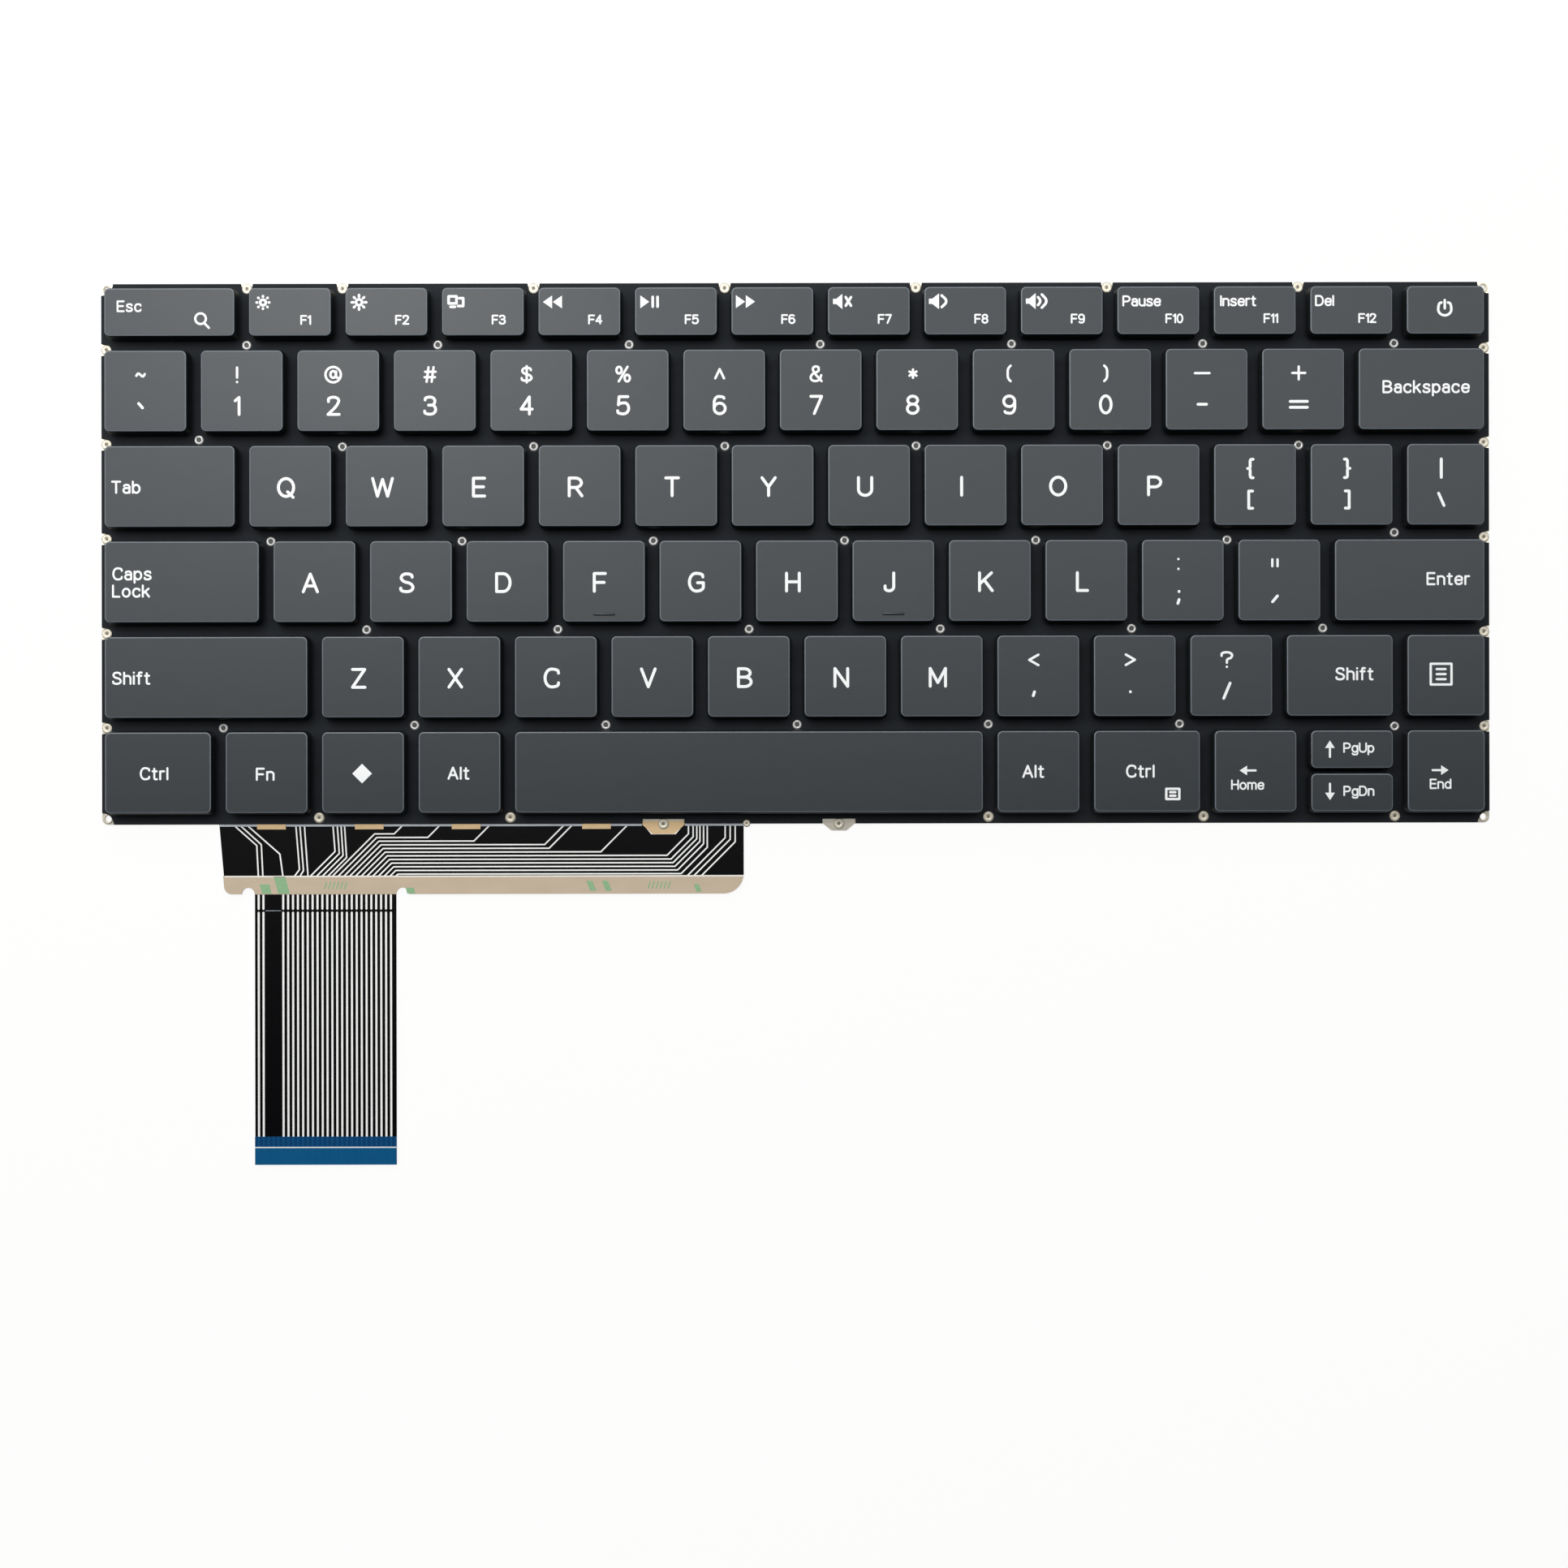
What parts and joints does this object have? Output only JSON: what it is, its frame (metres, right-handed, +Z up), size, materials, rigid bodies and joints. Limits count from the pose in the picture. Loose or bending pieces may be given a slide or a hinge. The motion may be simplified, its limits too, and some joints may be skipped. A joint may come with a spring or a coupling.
{
  "type": "laptop replacement keyboard",
  "caption": "Thin laptop keyboard module: stamped plate, switch membrane with a flap and ribbon tail, and hollow key caps on scissor levers over rubber domes.",
  "frame": {"origin": "centre of the base plate's underside", "axes": "+X along the key rows to the right, +Y away from the typist, +Z up through the key caps"},
  "size_m": [0.2766, 0.1756, 0.004],
  "materials": {
    "key_plastic": "fine matt",
    "plate_metal": "satin rolled",
    "membrane_film": "smooth film",
    "liner_paper": "waxed paper",
    "stiffener_blue": "smooth film",
    "dome_rubber": "soft satin",
    "lever_plastic": "moulded",
    "wire_steel": "drawn wire"
  },
  "bodies": {
    "base": {"base_plate": "plate_metal", "membrane": "membrane_film", "tape_liner": "liner_paper", "tail_stiffener": "stiffener_blue", "rubber_domes": "dome_rubber", "scissor_levers": "lever_plastic", "stabilizer_bars": "wire_steel", "function_row_keycaps": "key_plastic", "number_row_keycaps": "key_plastic"},
    "key_tab": {"keycap_tab": "key_plastic"},
    "key_q": {"keycap_q": "key_plastic"},
    "key_w": {"keycap_w": "key_plastic"},
    "key_e": {"keycap_e": "key_plastic"},
    "key_r": {"keycap_r": "key_plastic"},
    "key_t": {"keycap_t": "key_plastic"},
    "key_y": {"keycap_y": "key_plastic"},
    "key_u": {"keycap_u": "key_plastic"},
    "key_i": {"keycap_i": "key_plastic"},
    "key_o": {"keycap_o": "key_plastic"},
    "key_p": {"keycap_p": "key_plastic"},
    "key_left_bracket": {"keycap_left_bracket": "key_plastic"},
    "key_right_bracket": {"keycap_right_bracket": "key_plastic"},
    "key_backslash": {"keycap_backslash": "key_plastic"},
    "key_caps_lock": {"keycap_caps_lock": "key_plastic"},
    "key_a": {"keycap_a": "key_plastic"},
    "key_s": {"keycap_s": "key_plastic"},
    "key_d": {"keycap_d": "key_plastic"},
    "key_f": {"keycap_f": "key_plastic"},
    "key_g": {"keycap_g": "key_plastic"},
    "key_h": {"keycap_h": "key_plastic"},
    "key_j": {"keycap_j": "key_plastic"},
    "key_k": {"keycap_k": "key_plastic"},
    "key_l": {"keycap_l": "key_plastic"},
    "key_semicolon": {"keycap_semicolon": "key_plastic"},
    "key_quote": {"keycap_quote": "key_plastic"},
    "key_enter": {"keycap_enter": "key_plastic"},
    "key_left_shift": {"keycap_left_shift": "key_plastic"},
    "key_z": {"keycap_z": "key_plastic"},
    "key_x": {"keycap_x": "key_plastic"},
    "key_c": {"keycap_c": "key_plastic"},
    "key_v": {"keycap_v": "key_plastic"},
    "key_b": {"keycap_b": "key_plastic"},
    "key_n": {"keycap_n": "key_plastic"},
    "key_m": {"keycap_m": "key_plastic"},
    "key_comma": {"keycap_comma": "key_plastic"},
    "key_period": {"keycap_period": "key_plastic"},
    "key_slash": {"keycap_slash": "key_plastic"},
    "key_right_shift": {"keycap_right_shift": "key_plastic"},
    "key_menu": {"keycap_menu": "key_plastic"},
    "key_left_ctrl": {"keycap_left_ctrl": "key_plastic"},
    "key_fn": {"keycap_fn": "key_plastic"},
    "key_system": {"keycap_system": "key_plastic"},
    "key_left_alt": {"keycap_left_alt": "key_plastic"},
    "key_space": {"keycap_space": "key_plastic"},
    "key_right_alt": {"keycap_right_alt": "key_plastic"},
    "key_right_ctrl": {"keycap_right_ctrl": "key_plastic"},
    "key_arrow_left": {"keycap_arrow_left": "key_plastic"},
    "key_arrow_up": {"keycap_arrow_up": "key_plastic"},
    "key_arrow_down": {"keycap_arrow_down": "key_plastic"},
    "key_arrow_right": {"keycap_arrow_right": "key_plastic"}
  },
  "joints": [
    {"name": "press_tab", "type": "slide", "parent": "base", "child": "key_tab", "axis": [0, 0, -1], "range_m": [0, 0.0012], "stiffness_N_per_m": 250, "springref_m": -0.0012, "deforming": ["rubber_domes", "scissor_levers", "stabilizer_bars"]},
    {"name": "press_q", "type": "slide", "parent": "base", "child": "key_q", "axis": [0, 0, -1], "range_m": [0, 0.0012], "stiffness_N_per_m": 250, "springref_m": -0.0012, "deforming": ["rubber_domes", "scissor_levers"]},
    {"name": "press_w", "type": "slide", "parent": "base", "child": "key_w", "axis": [0, 0, -1], "range_m": [0, 0.0012], "stiffness_N_per_m": 250, "springref_m": -0.0012, "deforming": ["rubber_domes", "scissor_levers"]},
    {"name": "press_e", "type": "slide", "parent": "base", "child": "key_e", "axis": [0, 0, -1], "range_m": [0, 0.0012], "stiffness_N_per_m": 250, "springref_m": -0.0012, "deforming": ["rubber_domes", "scissor_levers"]},
    {"name": "press_r", "type": "slide", "parent": "base", "child": "key_r", "axis": [0, 0, -1], "range_m": [0, 0.0012], "stiffness_N_per_m": 250, "springref_m": -0.0012, "deforming": ["rubber_domes", "scissor_levers"]},
    {"name": "press_t", "type": "slide", "parent": "base", "child": "key_t", "axis": [0, 0, -1], "range_m": [0, 0.0012], "stiffness_N_per_m": 250, "springref_m": -0.0012, "deforming": ["rubber_domes", "scissor_levers"]},
    {"name": "press_y", "type": "slide", "parent": "base", "child": "key_y", "axis": [0, 0, -1], "range_m": [0, 0.0012], "stiffness_N_per_m": 250, "springref_m": -0.0012, "deforming": ["rubber_domes", "scissor_levers"]},
    {"name": "press_u", "type": "slide", "parent": "base", "child": "key_u", "axis": [0, 0, -1], "range_m": [0, 0.0012], "stiffness_N_per_m": 250, "springref_m": -0.0012, "deforming": ["rubber_domes", "scissor_levers"]},
    {"name": "press_i", "type": "slide", "parent": "base", "child": "key_i", "axis": [0, 0, -1], "range_m": [0, 0.0012], "stiffness_N_per_m": 250, "springref_m": -0.0012, "deforming": ["rubber_domes", "scissor_levers"]},
    {"name": "press_o", "type": "slide", "parent": "base", "child": "key_o", "axis": [0, 0, -1], "range_m": [0, 0.0012], "stiffness_N_per_m": 250, "springref_m": -0.0012, "deforming": ["rubber_domes", "scissor_levers"]},
    {"name": "press_p", "type": "slide", "parent": "base", "child": "key_p", "axis": [0, 0, -1], "range_m": [0, 0.0012], "stiffness_N_per_m": 250, "springref_m": -0.0012, "deforming": ["rubber_domes", "scissor_levers"]},
    {"name": "press_left_bracket", "type": "slide", "parent": "base", "child": "key_left_bracket", "axis": [0, 0, -1], "range_m": [0, 0.0012], "stiffness_N_per_m": 250, "springref_m": -0.0012, "deforming": ["rubber_domes", "scissor_levers"]},
    {"name": "press_right_bracket", "type": "slide", "parent": "base", "child": "key_right_bracket", "axis": [0, 0, -1], "range_m": [0, 0.0012], "stiffness_N_per_m": 250, "springref_m": -0.0012, "deforming": ["rubber_domes", "scissor_levers"]},
    {"name": "press_backslash", "type": "slide", "parent": "base", "child": "key_backslash", "axis": [0, 0, -1], "range_m": [0, 0.0012], "stiffness_N_per_m": 250, "springref_m": -0.0012, "deforming": ["rubber_domes", "scissor_levers"]},
    {"name": "press_caps_lock", "type": "slide", "parent": "base", "child": "key_caps_lock", "axis": [0, 0, -1], "range_m": [0, 0.0012], "stiffness_N_per_m": 250, "springref_m": -0.0012, "deforming": ["rubber_domes", "scissor_levers", "stabilizer_bars"]},
    {"name": "press_a", "type": "slide", "parent": "base", "child": "key_a", "axis": [0, 0, -1], "range_m": [0, 0.0012], "stiffness_N_per_m": 250, "springref_m": -0.0012, "deforming": ["rubber_domes", "scissor_levers"]},
    {"name": "press_s", "type": "slide", "parent": "base", "child": "key_s", "axis": [0, 0, -1], "range_m": [0, 0.0012], "stiffness_N_per_m": 250, "springref_m": -0.0012, "deforming": ["rubber_domes", "scissor_levers"]},
    {"name": "press_d", "type": "slide", "parent": "base", "child": "key_d", "axis": [0, 0, -1], "range_m": [0, 0.0012], "stiffness_N_per_m": 250, "springref_m": -0.0012, "deforming": ["rubber_domes", "scissor_levers"]},
    {"name": "press_f", "type": "slide", "parent": "base", "child": "key_f", "axis": [0, 0, -1], "range_m": [0, 0.0012], "stiffness_N_per_m": 250, "springref_m": -0.0012, "deforming": ["rubber_domes", "scissor_levers"]},
    {"name": "press_g", "type": "slide", "parent": "base", "child": "key_g", "axis": [0, 0, -1], "range_m": [0, 0.0012], "stiffness_N_per_m": 250, "springref_m": -0.0012, "deforming": ["rubber_domes", "scissor_levers"]},
    {"name": "press_h", "type": "slide", "parent": "base", "child": "key_h", "axis": [0, 0, -1], "range_m": [0, 0.0012], "stiffness_N_per_m": 250, "springref_m": -0.0012, "deforming": ["rubber_domes", "scissor_levers"]},
    {"name": "press_j", "type": "slide", "parent": "base", "child": "key_j", "axis": [0, 0, -1], "range_m": [0, 0.0012], "stiffness_N_per_m": 250, "springref_m": -0.0012, "deforming": ["rubber_domes", "scissor_levers"]},
    {"name": "press_k", "type": "slide", "parent": "base", "child": "key_k", "axis": [0, 0, -1], "range_m": [0, 0.0012], "stiffness_N_per_m": 250, "springref_m": -0.0012, "deforming": ["rubber_domes", "scissor_levers"]},
    {"name": "press_l", "type": "slide", "parent": "base", "child": "key_l", "axis": [0, 0, -1], "range_m": [0, 0.0012], "stiffness_N_per_m": 250, "springref_m": -0.0012, "deforming": ["rubber_domes", "scissor_levers"]},
    {"name": "press_semicolon", "type": "slide", "parent": "base", "child": "key_semicolon", "axis": [0, 0, -1], "range_m": [0, 0.0012], "stiffness_N_per_m": 250, "springref_m": -0.0012, "deforming": ["rubber_domes", "scissor_levers"]},
    {"name": "press_quote", "type": "slide", "parent": "base", "child": "key_quote", "axis": [0, 0, -1], "range_m": [0, 0.0012], "stiffness_N_per_m": 250, "springref_m": -0.0012, "deforming": ["rubber_domes", "scissor_levers"]},
    {"name": "press_enter", "type": "slide", "parent": "base", "child": "key_enter", "axis": [0, 0, -1], "range_m": [0, 0.0012], "stiffness_N_per_m": 250, "springref_m": -0.0012, "deforming": ["rubber_domes", "scissor_levers", "stabilizer_bars"]},
    {"name": "press_left_shift", "type": "slide", "parent": "base", "child": "key_left_shift", "axis": [0, 0, -1], "range_m": [0, 0.0012], "stiffness_N_per_m": 250, "springref_m": -0.0012, "deforming": ["rubber_domes", "scissor_levers", "stabilizer_bars"]},
    {"name": "press_z", "type": "slide", "parent": "base", "child": "key_z", "axis": [0, 0, -1], "range_m": [0, 0.0012], "stiffness_N_per_m": 250, "springref_m": -0.0012, "deforming": ["rubber_domes", "scissor_levers"]},
    {"name": "press_x", "type": "slide", "parent": "base", "child": "key_x", "axis": [0, 0, -1], "range_m": [0, 0.0012], "stiffness_N_per_m": 250, "springref_m": -0.0012, "deforming": ["rubber_domes", "scissor_levers"]},
    {"name": "press_c", "type": "slide", "parent": "base", "child": "key_c", "axis": [0, 0, -1], "range_m": [0, 0.0012], "stiffness_N_per_m": 250, "springref_m": -0.0012, "deforming": ["rubber_domes", "scissor_levers"]},
    {"name": "press_v", "type": "slide", "parent": "base", "child": "key_v", "axis": [0, 0, -1], "range_m": [0, 0.0012], "stiffness_N_per_m": 250, "springref_m": -0.0012, "deforming": ["rubber_domes", "scissor_levers"]},
    {"name": "press_b", "type": "slide", "parent": "base", "child": "key_b", "axis": [0, 0, -1], "range_m": [0, 0.0012], "stiffness_N_per_m": 250, "springref_m": -0.0012, "deforming": ["rubber_domes", "scissor_levers"]},
    {"name": "press_n", "type": "slide", "parent": "base", "child": "key_n", "axis": [0, 0, -1], "range_m": [0, 0.0012], "stiffness_N_per_m": 250, "springref_m": -0.0012, "deforming": ["rubber_domes", "scissor_levers"]},
    {"name": "press_m", "type": "slide", "parent": "base", "child": "key_m", "axis": [0, 0, -1], "range_m": [0, 0.0012], "stiffness_N_per_m": 250, "springref_m": -0.0012, "deforming": ["rubber_domes", "scissor_levers"]},
    {"name": "press_comma", "type": "slide", "parent": "base", "child": "key_comma", "axis": [0, 0, -1], "range_m": [0, 0.0012], "stiffness_N_per_m": 250, "springref_m": -0.0012, "deforming": ["rubber_domes", "scissor_levers"]},
    {"name": "press_period", "type": "slide", "parent": "base", "child": "key_period", "axis": [0, 0, -1], "range_m": [0, 0.0012], "stiffness_N_per_m": 250, "springref_m": -0.0012, "deforming": ["rubber_domes", "scissor_levers"]},
    {"name": "press_slash", "type": "slide", "parent": "base", "child": "key_slash", "axis": [0, 0, -1], "range_m": [0, 0.0012], "stiffness_N_per_m": 250, "springref_m": -0.0012, "deforming": ["rubber_domes", "scissor_levers"]},
    {"name": "press_right_shift", "type": "slide", "parent": "base", "child": "key_right_shift", "axis": [0, 0, -1], "range_m": [0, 0.0012], "stiffness_N_per_m": 250, "springref_m": -0.0012, "deforming": ["rubber_domes", "scissor_levers"]},
    {"name": "press_menu", "type": "slide", "parent": "base", "child": "key_menu", "axis": [0, 0, -1], "range_m": [0, 0.0012], "stiffness_N_per_m": 250, "springref_m": -0.0012, "deforming": ["rubber_domes", "scissor_levers"]},
    {"name": "press_left_ctrl", "type": "slide", "parent": "base", "child": "key_left_ctrl", "axis": [0, 0, -1], "range_m": [0, 0.0012], "stiffness_N_per_m": 250, "springref_m": -0.0012, "deforming": ["rubber_domes", "scissor_levers"]},
    {"name": "press_fn", "type": "slide", "parent": "base", "child": "key_fn", "axis": [0, 0, -1], "range_m": [0, 0.0012], "stiffness_N_per_m": 250, "springref_m": -0.0012, "deforming": ["rubber_domes", "scissor_levers"]},
    {"name": "press_system", "type": "slide", "parent": "base", "child": "key_system", "axis": [0, 0, -1], "range_m": [0, 0.0012], "stiffness_N_per_m": 250, "springref_m": -0.0012, "deforming": ["rubber_domes", "scissor_levers"]},
    {"name": "press_left_alt", "type": "slide", "parent": "base", "child": "key_left_alt", "axis": [0, 0, -1], "range_m": [0, 0.0012], "stiffness_N_per_m": 250, "springref_m": -0.0012, "deforming": ["rubber_domes", "scissor_levers"]},
    {"name": "press_space", "type": "slide", "parent": "base", "child": "key_space", "axis": [0, 0, -1], "range_m": [0, 0.0012], "stiffness_N_per_m": 250, "springref_m": -0.0012, "deforming": ["rubber_domes", "scissor_levers", "stabilizer_bars"]},
    {"name": "press_right_alt", "type": "slide", "parent": "base", "child": "key_right_alt", "axis": [0, 0, -1], "range_m": [0, 0.0012], "stiffness_N_per_m": 250, "springref_m": -0.0012, "deforming": ["rubber_domes", "scissor_levers"]},
    {"name": "press_right_ctrl", "type": "slide", "parent": "base", "child": "key_right_ctrl", "axis": [0, 0, -1], "range_m": [0, 0.0012], "stiffness_N_per_m": 250, "springref_m": -0.0012, "deforming": ["rubber_domes", "scissor_levers"]},
    {"name": "press_arrow_left", "type": "slide", "parent": "base", "child": "key_arrow_left", "axis": [0, 0, -1], "range_m": [0, 0.0012], "stiffness_N_per_m": 250, "springref_m": -0.0012, "deforming": ["rubber_domes", "scissor_levers"]},
    {"name": "press_arrow_up", "type": "slide", "parent": "base", "child": "key_arrow_up", "axis": [0, 0, -1], "range_m": [0, 0.0012], "stiffness_N_per_m": 250, "springref_m": -0.0012, "deforming": ["rubber_domes", "scissor_levers"]},
    {"name": "press_arrow_down", "type": "slide", "parent": "base", "child": "key_arrow_down", "axis": [0, 0, -1], "range_m": [0, 0.0012], "stiffness_N_per_m": 250, "springref_m": -0.0012, "deforming": ["rubber_domes", "scissor_levers"]},
    {"name": "press_arrow_right", "type": "slide", "parent": "base", "child": "key_arrow_right", "axis": [0, 0, -1], "range_m": [0, 0.0012], "stiffness_N_per_m": 250, "springref_m": -0.0012, "deforming": ["rubber_domes", "scissor_levers"]}
  ]
}
